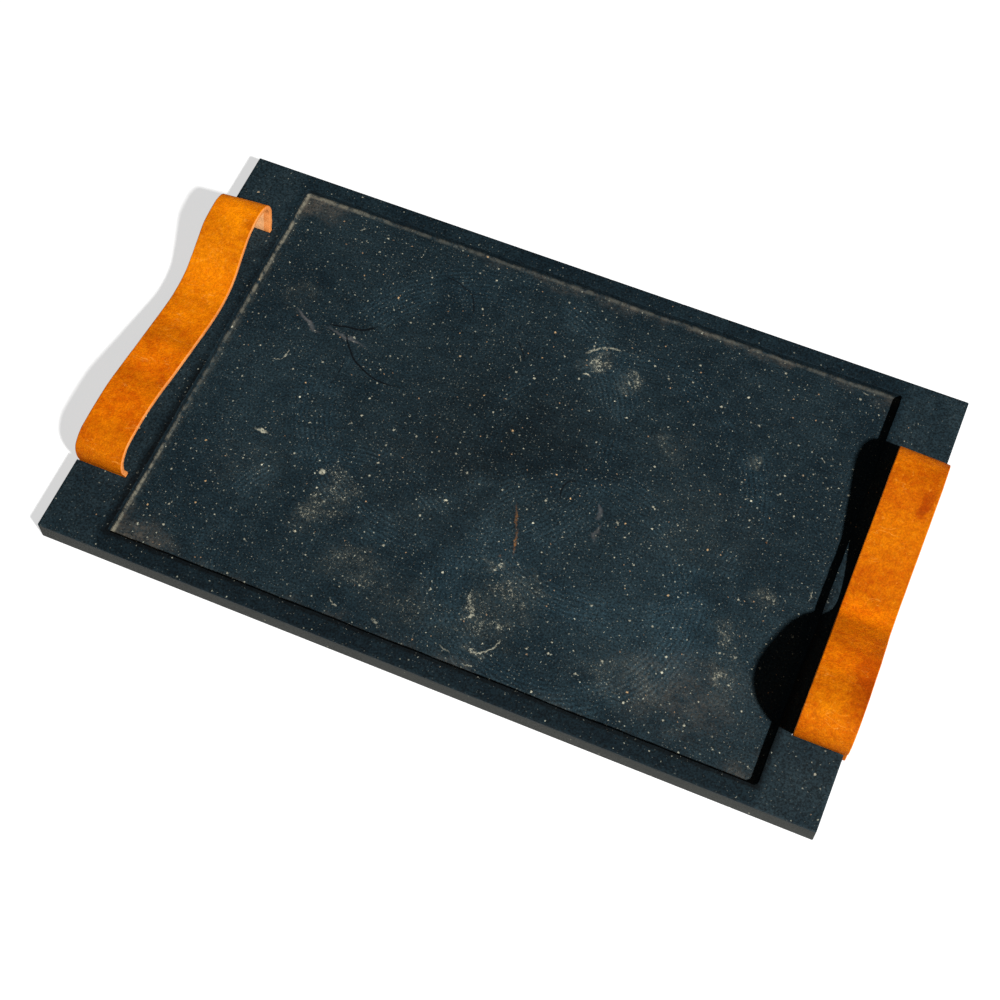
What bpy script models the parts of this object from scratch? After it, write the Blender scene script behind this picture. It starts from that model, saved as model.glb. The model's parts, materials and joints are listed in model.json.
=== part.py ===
"""A recessed stone slab with two leather strap handles. Metres, +Z up, resting on z = 0.

The slab lies with its long side along X. Each strap crosses one end along Y: it rises through two slots
that are sawn in from the slab's short side, and its tails fold under the slab, where a screw and a bonded
insert hold each one inside a relief, so that the slab still lies flat.
"""
import math

import bmesh
import bpy
from mathutils import Matrix, Vector

# Slab
SLAB_LENGTH = 0.491
SLAB_WIDTH = 0.300
SLAB_THICKNESS = 0.0152
ARRIS = 0.0007

# Recess in the slab's upper face: its depth and its distance from the long edges
RECESS_DEPTH = 0.0062
RECESS_MARGIN_NEAR = 0.0127
RECESS_MARGIN_FAR = 0.0108
RECESS_CORNER = 0.0025

# Stone left between a strap's slots and the recess
LAND_LEFT = 0.0069
LAND_RIGHT = 0.0084

# Leather straps: an inset below zero stands proud of the slab's short side
STRAP_WIDTH = 0.0326
STRAP_THICKNESS = 0.0034
STRAP_INSET = {"left": 0.0009, "right": -0.0020}
SLOT_SPACING = 0.1984
TAIL_LENGTH = 0.038
FOLD_RADIUS = 0.0034

# The middle line of each strap over the slab: (distance inwards from the leg, height above the slab),
# as it lies over slots DRAWN_SPACING apart. The distances stretch with the slots' real spacing.
DRAWN_SPACING = 0.1984
HUMPS = {
    "left": {
        "near": [(-0.0013, 0.0070), (0.0006, 0.0138), (0.0076, 0.0190), (0.0180, 0.0205), (0.0420, 0.0200),
                 (0.0660, 0.0157), (0.0920, 0.0109)],
        "far": [(-0.0012, 0.0105), (-0.0024, 0.0165), (0.0004, 0.0226), (0.0065, 0.0255), (0.0150, 0.0259),
                (0.0255, 0.0240), (0.0340, 0.0195), (0.0460, 0.0125), (0.0560, 0.0080), (0.0740, 0.0060)],
    },
    "right": {
        "near": [(-0.0019, 0.0052), (-0.0046, 0.0122), (-0.0050, 0.0192), (-0.0030, 0.0272),
                 (0.0030, 0.0327), (0.0150, 0.0336), (0.0300, 0.0300), (0.0460, 0.0243), (0.0600, 0.0166),
                 (0.0700, 0.0088), (0.0810, 0.0028)],
        "far": [(0.0024, 0.0070), (0.0072, 0.0134), (0.0148, 0.0182), (0.0245, 0.0200), (0.0335, 0.0193),
                (0.0500, 0.0152), (0.0740, 0.0098), (0.1020, 0.0028)],
    },
}
STEP_ALONG = 0.0022

# Fasteners under the slab
SHANK_RADIUS = 0.0020
SHANK_REACH = 0.0044
HEAD_RADIUS = 0.0055
HEAD_HEIGHT = 0.0016
HEAD_CLEARANCE = 0.0005
SOCKET_RADIUS = 0.0016
SOCKET_DEPTH = 0.0009
INSERT_RADIUS = 0.0034
INSERT_LENGTH = 0.0050
SCREW_FROM_LEG = 0.0210

# Clearances
TOUCH = 0.0003
SLOT_CLEARANCE = 0.0004
SLOT_END = 0.0004
OVERCUT = 0.0010
MERGE = 0.00001

# Worked out from the values above
SLOT_Y = SLOT_SPACING / 2
HEAD_TOP = HEAD_CLEARANCE + HEAD_HEIGHT
TAIL_Z = HEAD_TOP + TOUCH + STRAP_THICKNESS / 2
RELIEF_HEIGHT = TAIL_Z + STRAP_THICKNESS / 2 + TOUCH
SLOT_HALF = STRAP_THICKNESS / 2 + SLOT_CLEARANCE
ROUND_STEPS = 28
FOLD_STEPS = 6

STONE = ("stone", (0.030, 0.038, 0.043), 0.62, 0.0)
LEATHER = ("leather", (0.74, 0.27, 0.04), 0.60, 0.0)
BRASS = ("insert_brass", (0.80, 0.60, 0.28), 0.35, 1.0)
STEEL = ("screw_steel", (0.62, 0.62, 0.60), 0.35, 1.0)


def clear_scene():
    for thing in list(bpy.data.objects):
        bpy.data.objects.remove(thing, do_unlink=True)


def new_collection(name):
    group = bpy.data.collections.new(name)
    bpy.context.scene.collection.children.link(group)
    return group


def make_material(name, colour, roughness, metallic):
    material = bpy.data.materials.new(name)
    material.use_nodes = True
    shader = material.node_tree.nodes["Principled BSDF"]
    shader.inputs["Base Color"].default_value = (*colour, 1.0)
    shader.inputs["Roughness"].default_value = roughness
    shader.inputs["Metallic"].default_value = metallic
    return material


def add_mesh(name, mesh, group, finish=None):
    part = bpy.data.objects.new(name, mesh)
    group.objects.link(part)
    if finish:
        mesh.materials.clear()
        mesh.materials.append(make_material(name + "_" + finish[0], *finish[1:]))
    return part


def box_mesh(name, low, high):
    """A box from its lowest to its highest corner."""
    low, high = Vector(low), Vector(high)
    shape = bmesh.new()
    bmesh.ops.create_cube(shape, size=1.0)
    bmesh.ops.scale(shape, vec=high - low, verts=shape.verts)
    bmesh.ops.translate(shape, vec=(low + high) / 2, verts=shape.verts)
    mesh = bpy.data.meshes.new(name)
    shape.to_mesh(mesh)
    shape.free()
    return mesh


def cylinder_mesh(name, radius, low, high, sides=ROUND_STEPS):
    """An upright cylinder between two heights on the Z axis."""
    shape = bmesh.new()
    bmesh.ops.create_cone(shape, cap_ends=True, segments=sides, radius1=radius, radius2=radius,
                          depth=high - low, matrix=Matrix.Translation((0, 0, (low + high) / 2)))
    mesh = bpy.data.meshes.new(name)
    shape.to_mesh(mesh)
    shape.free()
    return mesh


def curve_to_mesh(name, points, half_depth, closed, matrix):
    """A flat outline or an open line, extruded both ways along its own normal, as a mesh."""
    curve = bpy.data.curves.new(name, "CURVE")
    curve.dimensions = "2D"
    curve.fill_mode = "BOTH" if closed else "NONE"
    curve.extrude = half_depth
    spline = curve.splines.new("POLY")
    spline.points.add(len(points) - 1)
    for point, (across, up) in zip(spline.points, points):
        point.co = (across, up, 0.0, 1.0)
    spline.use_cyclic_u = closed
    source = bpy.data.objects.new(name, curve)
    bpy.context.scene.collection.objects.link(source)
    view = bpy.context.evaluated_depsgraph_get()
    mesh = bpy.data.meshes.new_from_object(source.evaluated_get(view))
    bpy.data.objects.remove(source, do_unlink=True)
    shape = bmesh.new()
    shape.from_mesh(mesh)
    bmesh.ops.remove_doubles(shape, verts=shape.verts, dist=MERGE)
    bmesh.ops.recalc_face_normals(shape, faces=shape.faces)
    bmesh.ops.transform(shape, matrix=matrix, verts=shape.verts)
    shape.to_mesh(mesh)
    shape.free()
    mesh.name = name
    return mesh


def across_slab(x):
    """Turns an outline's own (X, Y) into the slab's (Y, Z), at a place along X."""
    return Matrix.Translation((x, 0, 0)) @ Matrix(((0, 0, 1, 0), (1, 0, 0, 0), (0, 1, 0, 0), (0, 0, 0, 1)))


def cut(part, cutter):
    cutter.hide_render = True
    cutter.display_type = "WIRE"
    change = part.modifiers.new("cut_" + cutter.name, "BOOLEAN")
    change.operation = "DIFFERENCE"
    change.solver = "EXACT"
    change.object = cutter


def arc(centre, radius, start, end, steps):
    """Points on an arc, with its angles in degrees."""
    points = []
    for step in range(steps + 1):
        angle = math.radians(start + (end - start) * step / steps)
        points.append((centre[0] + radius * math.cos(angle), centre[1] + radius * math.sin(angle)))
    return points


def smooth_line(points, spacing):
    """A smooth line through points, without its first and last, which only set the end directions."""
    result = []
    for before, start, end, after in zip(points, points[1:], points[2:], points[3:]):
        p0, p1, p2, p3 = (Vector(point) for point in (before, start, end, after))
        t1 = math.sqrt((p1 - p0).length)
        t2 = t1 + math.sqrt((p2 - p1).length)
        t3 = t2 + math.sqrt((p3 - p2).length)
        steps = max(2, round((p2 - p1).length / spacing))
        for step in range(steps):
            t = t1 + (t2 - t1) * step / steps
            a1 = p0.lerp(p1, t / t1)
            a2 = p1.lerp(p2, (t - t1) / (t2 - t1))
            a3 = p2.lerp(p3, (t - t2) / (t3 - t2))
            b1 = a1.lerp(a2, t / t2)
            b2 = a2.lerp(a3, (t - t1) / (t3 - t1))
            result.append(tuple(b1.lerp(b2, (t - t1) / (t2 - t1))))
    result.append(tuple(points[-2]))
    return result


def strap_route(side):
    """The strap's middle line in (Y, Z), from its near tail to its far tail."""
    fold_centre = SLOT_Y - FOLD_RADIUS, TAIL_Z + FOLD_RADIUS
    tail = [(SLOT_Y - TAIL_LENGTH, TAIL_Z)]
    fold = arc(fold_centre, FOLD_RADIUS, -90, 0, FOLD_STEPS)
    near_end = [(-y, z) for y, z in tail + fold]
    far_end = (tail + fold)[::-1]
    stretch = SLOT_SPACING / DRAWN_SPACING
    near_hump = [(-SLOT_Y + y * stretch, SLAB_THICKNESS + z) for y, z in HUMPS[side]["near"]]
    far_hump = [(SLOT_Y - y * stretch, SLAB_THICKNESS + z) for y, z in reversed(HUMPS[side]["far"])]
    over = [near_end[-1], (-SLOT_Y, SLAB_THICKNESS), *near_hump, *far_hump, (SLOT_Y, SLAB_THICKNESS), far_end[0]]
    return near_end + smooth_line(over, STEP_ALONG) + far_end


def strap_middle_x(side):
    middle = SLAB_LENGTH / 2 - STRAP_INSET[side] - STRAP_WIDTH / 2
    return middle if side == "right" else -middle


def slot_reach(side):
    """How far a slot runs in from the slab's short side."""
    return STRAP_INSET[side] + STRAP_WIDTH + SLOT_END


def fastener_places():
    for side in ("left", "right"):
        for end, sign in (("near", -1), ("far", 1)):
            yield side + "_" + end, side, (strap_middle_x(side), sign * (SLOT_Y - SCREW_FROM_LEG), 0.0)


def recess_cutter(cutters):
    left = -SLAB_LENGTH / 2 + slot_reach("left") + LAND_LEFT
    right = SLAB_LENGTH / 2 - slot_reach("right") - LAND_RIGHT
    near = -SLAB_WIDTH / 2 + RECESS_MARGIN_NEAR
    far = SLAB_WIDTH / 2 - RECESS_MARGIN_FAR
    r = RECESS_CORNER
    outline = (arc((right - r, far - r), r, 0, 90, FOLD_STEPS) + arc((left + r, far - r), r, 90, 180, FOLD_STEPS)
               + arc((left + r, near + r), r, 180, 270, FOLD_STEPS)
               + arc((right - r, near + r), r, 270, 360, FOLD_STEPS))
    half = (RECESS_DEPTH + OVERCUT) / 2
    middle = Matrix.Translation((0, 0, SLAB_THICKNESS - RECESS_DEPTH + half))
    return add_mesh("recess_cutter", curve_to_mesh("recess_cutter", outline, half, True, middle), cutters)


def slot_cutter(name, side, sign, cutters):
    """A slot for one leg with the relief for its tail, as one outline with the fold's inner round."""
    fold_centre = SLOT_Y - FOLD_RADIUS, TAIL_Z + FOLD_RADIUS
    inner_round = FOLD_RADIUS - SLOT_HALF
    tail_end = SLOT_Y - TAIL_LENGTH - SLOT_END
    top = SLAB_THICKNESS + OVERCUT
    outline = [(tail_end, -OVERCUT), (tail_end, RELIEF_HEIGHT)]
    outline += arc((fold_centre[0], RELIEF_HEIGHT + inner_round), inner_round, -90, 0, FOLD_STEPS)
    outline += [(SLOT_Y - SLOT_HALF, top), (SLOT_Y + SLOT_HALF, top), (SLOT_Y + SLOT_HALF, -OVERCUT)]
    outline = [(sign * y, z) for y, z in outline]
    depth = slot_reach(side) + OVERCUT
    middle = SLAB_LENGTH / 2 + OVERCUT - depth / 2
    place = across_slab(middle if side == "right" else -middle)
    return add_mesh(name, curve_to_mesh(name, outline, depth / 2, True, place), cutters)


def build_slab(parts, cutters):
    half_length, half_width = SLAB_LENGTH / 2, SLAB_WIDTH / 2
    block = box_mesh("granite_slab", (-half_length, -half_width, 0), (half_length, half_width, SLAB_THICKNESS))
    slab = add_mesh("granite_slab", block, parts, STONE)
    rounding = slab.modifiers.new("arris", "BEVEL")
    rounding.width = ARRIS
    rounding.segments = 2
    cut(slab, recess_cutter(cutters))
    for side in ("left", "right"):
        for end, sign in (("near", -1), ("far", 1)):
            cut(slab, slot_cutter("slot_cutter_" + side + "_" + end, side, sign, cutters))
    hole_top = RELIEF_HEIGHT + INSERT_LENGTH + TOUCH
    for name, _, place in fastener_places():
        mesh = cylinder_mesh("insert_hole_" + name, INSERT_RADIUS + TOUCH, RELIEF_HEIGHT - OVERCUT, hole_top)
        hole = add_mesh("insert_hole_" + name, mesh, cutters)
        hole.location = place
        cut(slab, hole)


def build_strap(side, parts, cutters):
    name = "handle_strap_" + side
    ribbon = curve_to_mesh(name, strap_route(side), STRAP_WIDTH / 2, False, across_slab(strap_middle_x(side)))
    ribbon.shade_smooth()
    ribbon.set_sharp_from_angle(angle=math.radians(40))
    strap = add_mesh(name, ribbon, parts, LEATHER)
    thickness = strap.modifiers.new("thickness", "SOLIDIFY")
    thickness.thickness = STRAP_THICKNESS
    thickness.offset = 0.0
    for end, strap_side, place in fastener_places():
        if strap_side == side:
            mesh = cylinder_mesh("strap_hole_" + end, SHANK_RADIUS + TOUCH, 0.0, RELIEF_HEIGHT + OVERCUT)
            hole = add_mesh("strap_hole_" + end, mesh, cutters)
            hole.location = place
            cut(strap, hole)


def turned(name, profile, closed, place, parts, finish):
    """A round piece from a profile of (radius, height), which runs down its outer side."""
    mesh = bpy.data.meshes.new(name)
    shape = bmesh.new()
    points = [shape.verts.new((radius, 0, height)) for radius, height in profile]
    for start, end in zip(points, points[1:]):
        shape.edges.new((start, end))
    if closed:
        shape.edges.new((points[-1], points[0]))
    shape.to_mesh(mesh)
    shape.free()
    piece = add_mesh(name, mesh, parts, finish)
    piece.location = place
    sweep = piece.modifiers.new("turn", "SCREW")
    sweep.axis = "Z"
    sweep.steps = ROUND_STEPS
    sweep.render_steps = ROUND_STEPS
    sweep.use_merge_vertices = True
    sweep.merge_threshold = MERGE
    sweep.use_smooth_shade = False
    return piece


def build_fasteners(parts, cutters):
    bore = SHANK_RADIUS + TOUCH
    insert_low, insert_high = RELIEF_HEIGHT + TOUCH, RELIEF_HEIGHT + INSERT_LENGTH
    ring = [(INSERT_RADIUS, insert_high), (INSERT_RADIUS, insert_low), (bore, insert_low), (bore, insert_high)]
    shank_top = RELIEF_HEIGHT + SHANK_REACH
    rim = HEAD_HEIGHT / 3
    screw = [(0, shank_top), (SHANK_RADIUS - rim / 2, shank_top), (SHANK_RADIUS, shank_top - rim / 2),
             (SHANK_RADIUS, HEAD_TOP), (HEAD_RADIUS, HEAD_TOP), (HEAD_RADIUS, HEAD_TOP - rim),
             (HEAD_RADIUS - rim * 2, HEAD_CLEARANCE), (0, HEAD_CLEARANCE)]
    for name, _, place in fastener_places():
        turned("insert_" + name, ring, True, place, parts, BRASS)
        piece = turned("screw_" + name, screw, False, place, parts, STEEL)
        mesh = cylinder_mesh("socket_" + name, SOCKET_RADIUS, HEAD_CLEARANCE - OVERCUT,
                             HEAD_CLEARANCE + SOCKET_DEPTH, sides=6)
        socket = add_mesh("socket_" + name, mesh, cutters)
        socket.location = place
        cut(piece, socket)


def main():
    clear_scene()
    parts = new_collection("recessed_stone_slab")
    cutters = new_collection("cutters")
    build_slab(parts, cutters)
    build_strap("left", parts, cutters)
    build_strap("right", parts, cutters)
    build_fasteners(parts, cutters)


main()
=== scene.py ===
"""The finished look of a recessed stone slab with leather strap handles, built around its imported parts.

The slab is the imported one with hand-ground walls, chipped arrises, and stone, dust and chalk in its
materials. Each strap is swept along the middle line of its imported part. Screws and inserts keep their shape.
"""

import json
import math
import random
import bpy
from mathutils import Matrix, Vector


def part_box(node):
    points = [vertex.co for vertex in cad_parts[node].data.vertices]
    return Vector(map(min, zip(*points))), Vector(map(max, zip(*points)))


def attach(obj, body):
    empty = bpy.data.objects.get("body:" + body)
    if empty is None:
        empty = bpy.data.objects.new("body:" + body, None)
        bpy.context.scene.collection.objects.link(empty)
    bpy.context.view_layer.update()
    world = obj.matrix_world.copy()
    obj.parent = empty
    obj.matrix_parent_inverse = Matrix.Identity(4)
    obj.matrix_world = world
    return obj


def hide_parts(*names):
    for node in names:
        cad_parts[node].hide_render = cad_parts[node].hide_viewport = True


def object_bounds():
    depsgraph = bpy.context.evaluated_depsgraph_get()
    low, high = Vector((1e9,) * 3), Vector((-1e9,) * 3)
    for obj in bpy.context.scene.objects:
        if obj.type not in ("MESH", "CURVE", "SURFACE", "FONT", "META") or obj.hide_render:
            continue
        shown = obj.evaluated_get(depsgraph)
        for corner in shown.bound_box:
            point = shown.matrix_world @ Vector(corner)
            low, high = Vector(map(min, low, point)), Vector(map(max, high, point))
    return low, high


bl_info = {
    "name": "Recessed Stone Slab",
    "version": (1, 0, 0),
    "blender": (4, 5, 0),
    "location": "View3D > Sidebar > Stone Slab",
    "description": "Builds a recessed stone slab with leather strap handles, and the studio it stands in",
    "category": "Add Mesh",
}

import bmesh
import bpy
from bpy.props import FloatProperty, FloatVectorProperty, IntProperty, PointerProperty
from mathutils import Matrix, Vector, noise

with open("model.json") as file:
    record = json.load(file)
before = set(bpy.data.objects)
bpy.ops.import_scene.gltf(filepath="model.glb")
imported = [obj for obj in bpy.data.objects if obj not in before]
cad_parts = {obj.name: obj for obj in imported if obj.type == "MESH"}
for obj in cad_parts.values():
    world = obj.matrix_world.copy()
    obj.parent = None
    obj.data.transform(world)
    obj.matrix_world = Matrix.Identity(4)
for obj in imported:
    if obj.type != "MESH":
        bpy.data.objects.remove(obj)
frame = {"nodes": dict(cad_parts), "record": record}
CAD_LOW, CAD_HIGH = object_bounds()

BODY = "root"
MM = 0.001
JOIN = 0.00001
FLAT = math.radians(0.3)
SLAB_LOW, SLAB_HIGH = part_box("granite_slab")
FLOOR_Z = next(mount["pos_m"][2] for mount in frame["record"]["mounts"] if mount["name"] == "recess_floor")
CORNERS = ("left_near", "left_far", "right_near", "right_far")


def recess_edges():
    """The recess floor's lowest and highest corner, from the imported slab."""
    floor = [v.co for v in frame["nodes"]["granite_slab"].data.vertices if abs(v.co.z - FLOOR_Z) < JOIN]
    low = Vector((min(co.x for co in floor), min(co.y for co in floor)))
    high = Vector((max(co.x for co in floor), max(co.y for co in floor)))
    return low, high


RECESS_LOW, RECESS_HIGH = recess_edges()


# Settings

class StoneSettings(bpy.types.PropertyGroup):
    grid: FloatProperty(
        name="Grid", description="Spacing of the stone's faces", default=2.0 * MM, unit="LENGTH")
    corner: FloatProperty(
        name="Recess corner", description="Radius of the recess in plan", default=2.5 * MM, unit="LENGTH")
    cove: FloatProperty(
        name="Cove", description="Radius where the recess walls meet its floor", default=2.2 * MM,
        unit="LENGTH")
    rim: FloatProperty(
        name="Rim", description="Radius worn onto the recess's upper edge", default=0.35 * MM,
        unit="LENGTH")
    wander: FloatProperty(
        name="Wander", description="How far the hand-ground walls stray from straight", default=0.55 * MM,
        unit="LENGTH")
    unevenness: FloatProperty(
        name="Unevenness", description="How far the ground floor rises and falls", default=0.10 * MM,
        unit="LENGTH")
    chips: IntProperty(name="Chips", description="Chips along the arrises", default=90, min=0)
    chip_size: FloatProperty(
        name="Chip size", description="Radius of the largest chip", default=1.3 * MM, unit="LENGTH")
    dark: FloatVectorProperty(
        name="Dark", description="The stone's darker tone", subtype="COLOR",
        default=(0.0038, 0.0102, 0.0143))
    light: FloatVectorProperty(
        name="Light", description="The stone's lighter tone", subtype="COLOR",
        default=(0.0090, 0.0182, 0.0228))
    rim_shade: FloatProperty(
        name="Rim shade", description="Tone of the cleaner upper face beside the floor's",
        default=0.55, subtype="FACTOR")
    sawn: FloatVectorProperty(
        name="Sawn", description="The sawn sides", subtype="COLOR", default=(0.0180, 0.0202, 0.0172))
    dust: FloatVectorProperty(
        name="Dust", description="Brown dust in the corners", subtype="COLOR",
        default=(0.150, 0.138, 0.102))
    chalk: FloatVectorProperty(
        name="Chalk", description="Chalky dust and marks", subtype="COLOR", default=(0.48, 0.46, 0.34))


class LeatherSettings(bpy.types.PropertyGroup):
    step: FloatProperty(
        name="Step", description="Spacing of the strap's rings", default=1.2 * MM, unit="LENGTH")
    upper_round: FloatProperty(
        name="Upper round", description="Radius of the grain side's edges", default=0.9 * MM, unit="LENGTH")
    lower_round: FloatProperty(
        name="Lower round", description="Radius of the flesh side's edges", default=0.4 * MM, unit="LENGTH")
    waver: FloatProperty(
        name="Waver", description="How far the cut edges stray from straight", default=0.22 * MM,
        unit="LENGTH")
    fray: FloatProperty(
        name="Fray", description="Roughness of the cut edges", default=0.10 * MM, unit="LENGTH")
    near_lift: FloatProperty(
        name="Near lift", description="How much higher the inner edge rides near", default=2.0 * MM,
        unit="LENGTH")
    far_lift: FloatProperty(
        name="Far lift", description="How much higher the inner edge rides far", default=3.0 * MM,
        unit="LENGTH")
    bright: FloatVectorProperty(
        name="Bright", description="Grain side, where it is pulled up", subtype="COLOR",
        default=(0.56, 0.158, 0.0006))
    deep: FloatVectorProperty(
        name="Deep", description="Grain side, where it is oiled", subtype="COLOR",
        default=(0.345, 0.059, 0.0002))
    cut: FloatVectorProperty(
        name="Cut", description="The cut edges", subtype="COLOR", default=(0.76, 0.31, 0.095))
    flesh: FloatVectorProperty(
        name="Flesh", description="The flesh side", subtype="COLOR", default=(0.74, 0.36, 0.15))


class MetalSettings(bpy.types.PropertyGroup):
    hole: FloatProperty(
        name="Strap hole", description="Radius of the screw hole in the leather", default=2.3 * MM,
        unit="LENGTH")
    steel: FloatVectorProperty(
        name="Steel", description="The screws", subtype="COLOR", default=(0.56, 0.55, 0.52))
    brass: FloatVectorProperty(
        name="Brass", description="The bonded inserts", subtype="COLOR", default=(0.78, 0.55, 0.22))


class StudioSettings(bpy.types.PropertyGroup):
    place: FloatVectorProperty(
        name="Camera", description="Where the camera stands", unit="LENGTH", subtype="TRANSLATION",
        default=(0.21095, -0.51637, 1.01007))
    turn: FloatVectorProperty(
        name="Camera turn", description="The camera's rotation", subtype="EULER",
        default=(math.radians(28.12), 0.0, math.radians(22.93)))
    lens: FloatProperty(name="Lens", description="The camera's focal length in millimetres", default=67.25)
    key_from: FloatVectorProperty(
        name="Key from", description="The direction that the key light comes from", subtype="XYZ",
        default=(0.87, -0.58, 1.0))
    key_away: FloatProperty(
        name="Key away", description="How far away the key light is", default=6.0, unit="LENGTH")
    key_size: FloatProperty(
        name="Key size", description="The key light's diameter", default=0.36, unit="LENGTH")
    key_power: FloatProperty(
        name="Key power", description="The key light's power", default=700.0, unit="POWER")
    fill: FloatProperty(name="Fill", description="Strength of the even light all round", default=0.07)
    floor: FloatVectorProperty(
        name="Floor", description="The studio floor", subtype="COLOR", default=(0.36, 0.36, 0.357))
    glow: FloatProperty(name="Glow", description="How much light the floor gives off itself", default=0.64)


# Shader maths

# The places of a Mix node's two vector sockets among its inputs
MIX_VECTORS = (4, 5)


class Value:
    """One socket of a material's nodes. Arithmetic on it adds the Math nodes."""

    def __init__(self, paint, socket):
        self.paint = paint
        self.socket = socket

    def maths(self, operation, *others):
        return self.paint.node("ShaderNodeMath", {"operation": operation}, dict(enumerate((self, *others))))

    def __add__(self, other):
        return self.maths("ADD", other)

    def __sub__(self, other):
        return self.maths("SUBTRACT", other)

    def __mul__(self, other):
        return self.maths("MULTIPLY", other)

    def __truediv__(self, other):
        return self.maths("DIVIDE", other)

    def __rsub__(self, other):
        return self.paint.node("ShaderNodeMath", {"operation": "SUBTRACT"}, {0: other, 1: self})

    __radd__ = __add__
    __rmul__ = __mul__

    def __abs__(self):
        return self.maths("ABSOLUTE")

    def clamped(self):
        """This value, held between 0 and 1."""
        return self.paint.node("ShaderNodeClamp", {}, {"Value": self})

    def within(self, low, high):
        """0 at low, 1 at high and a smooth step between them; high may be the smaller."""
        return self.paint.node("ShaderNodeMapRange", {"interpolation_type": "SMOOTHSTEP"},
                               {"Value": self, "From Min": low, "From Max": high})

    def highest(self, other):
        return self.maths("MAXIMUM", other)


class Paint:
    def __init__(self, name, **constants):
        self.material = bpy.data.materials.new(name)
        self.material.use_nodes = True
        self.tree = self.material.node_tree
        self.shader = self.tree.nodes["Principled BSDF"]
        for socket, value in constants.items():
            self.shader.inputs[socket.replace("_", " ")].default_value = value
        self.place = self.node("ShaderNodeTexCoord", {}, {}, "Object")

    def put(self, socket, value):
        """Links a value to a socket, or sets it."""
        if isinstance(value, Value):
            self.tree.links.new(value.socket, socket)
        elif hasattr(socket.default_value, "__len__") and len(socket.default_value) == 4:
            socket.default_value = (*value, 1.0)
        else:
            socket.default_value = value

    def node(self, kind, settings, inputs, output=0):
        """Adds a node: its settings first, then the values or links of its sockets."""
        made = self.tree.nodes.new(kind)
        for name, value in settings.items():
            setattr(made, name, value)
        for socket, value in inputs.items():
            self.put(made.inputs[socket], value)
        return Value(self, made.outputs[output])

    def mix(self, share, first, second):
        """A colour that goes from first to second as share goes from 0 to 1."""
        start, end = MIX_VECTORS
        return self.node("ShaderNodeMix", {"data_type": "VECTOR"}, {0: share, start: first, end: second}, 1)

    def vector(self, operation, first, second):
        """Vector arithmetic; a distance or a dot product gives a plain value."""
        output = "Value" if operation in ("DISTANCE", "DOT_PRODUCT") else "Vector"
        return self.node("ShaderNodeVectorMath", {"operation": operation}, {0: first, 1: second}, output)

    def multiply(self, colour, amount):
        """A colour made darker or lighter by a value."""
        return self.node("ShaderNodeVectorMath", {"operation": "SCALE"}, {0: colour, 3: amount})

    def noise(self, size, detail=3.0, roughness=0.55, place=None):
        """Cloudy noise whose largest lumps are about size across."""
        return self.node("ShaderNodeTexNoise", {}, {"Vector": place or self.place, "Scale": 1 / size,
                                                    "Detail": detail, "Roughness": roughness})

    def cells(self, size, place=None):
        """Random cells about size across: how far from their middles, and three random values for each."""
        away = self.node("ShaderNodeTexVoronoi", {"voronoi_dimensions": "2D" if place else "3D"},
                         {"Vector": place or self.place, "Scale": 1 / size}, "Distance")
        split = self.node("ShaderNodeSeparateColor", {}, {0: Value(self, away.socket.node.outputs["Color"])})
        return (away * size, *(Value(self, socket) for socket in split.socket.node.outputs))

    def channels(self, vector):
        """The three parts of a vector or colour."""
        split = self.node("ShaderNodeSeparateXYZ", {}, {"Vector": vector})
        return [Value(self, socket) for socket in split.socket.node.outputs]

    def stretched(self, place, scale, turn=0.0):
        """Places turned about the upright axis and scaled, so that noise from them is drawn out."""
        return self.node("ShaderNodeMapping", {}, {"Vector": place, "Rotation": (0.0, 0.0, turn),
                                                   "Scale": scale})

    def moved(self, amount, size):
        """Flat places nudged by up to about amount, so that what they shape has broken edges."""
        across, along, _ = self.channels(self.place)
        across = self.noise(size, 2.0).maths("MULTIPLY_ADD", amount * 2, across - amount)
        elsewhere = self.vector("ADD", self.place, (0.3, 0.5, 0.7))
        along = self.noise(size, 2.0, place=elsewhere).maths("MULTIPLY_ADD", amount * 2, along - amount)
        return self.node("ShaderNodeCombineXYZ", {}, {0: across, 1: along, 2: 0.0})

    def specks(self, size, radius, share, place=None):
        """Dots of random radii in a share of the cells about size across, and a random value for each dot."""
        away, chance, scale, tint = self.cells(size, place)
        reach = radius * (0.45 + scale * 0.55)
        return (away / reach).within(1.0, 0.5) * (share - chance).within(0.0, 0.02), tint

    def grit(self, size, share):
        """Ragged crumbs in a share of the surface, which may be a value from 0 to 1."""
        lumps = self.noise(size, 4.0, 0.75)
        edge = 0.70 - share * 0.16
        return lumps.within(edge, edge + 0.03)

    def finish(self, colour, roughness, height=None):
        """Feeds the shader and gives the material back. Height is in metres."""
        self.put(self.shader.inputs["Base Color"], colour)
        self.put(self.shader.inputs["Roughness"], roughness)
        if height is not None:
            bump = self.node("ShaderNodeBump", {}, {"Height": height, "Distance": 1.0})
            self.put(self.shader.inputs["Normal"], bump)
        return self.material


# Meshes and objects

def linked(name, data):
    """A new object in the scene that shows data."""
    made = bpy.data.objects.new(name, data)
    bpy.context.scene.collection.objects.link(made)
    return made


def as_mesh(shape, name):
    """A new mesh of a finished shape, which is used up."""
    mesh = bpy.data.meshes.new(name)
    shape.to_mesh(mesh)
    shape.free()
    return mesh


def packed_shape(node):
    """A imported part's mesh, ready to work on, with its doubled corners joined."""
    shape = bmesh.new()
    shape.from_mesh(frame["nodes"][node].data)
    bmesh.ops.remove_doubles(shape, verts=shape.verts, dist=JOIN)
    return shape


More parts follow.
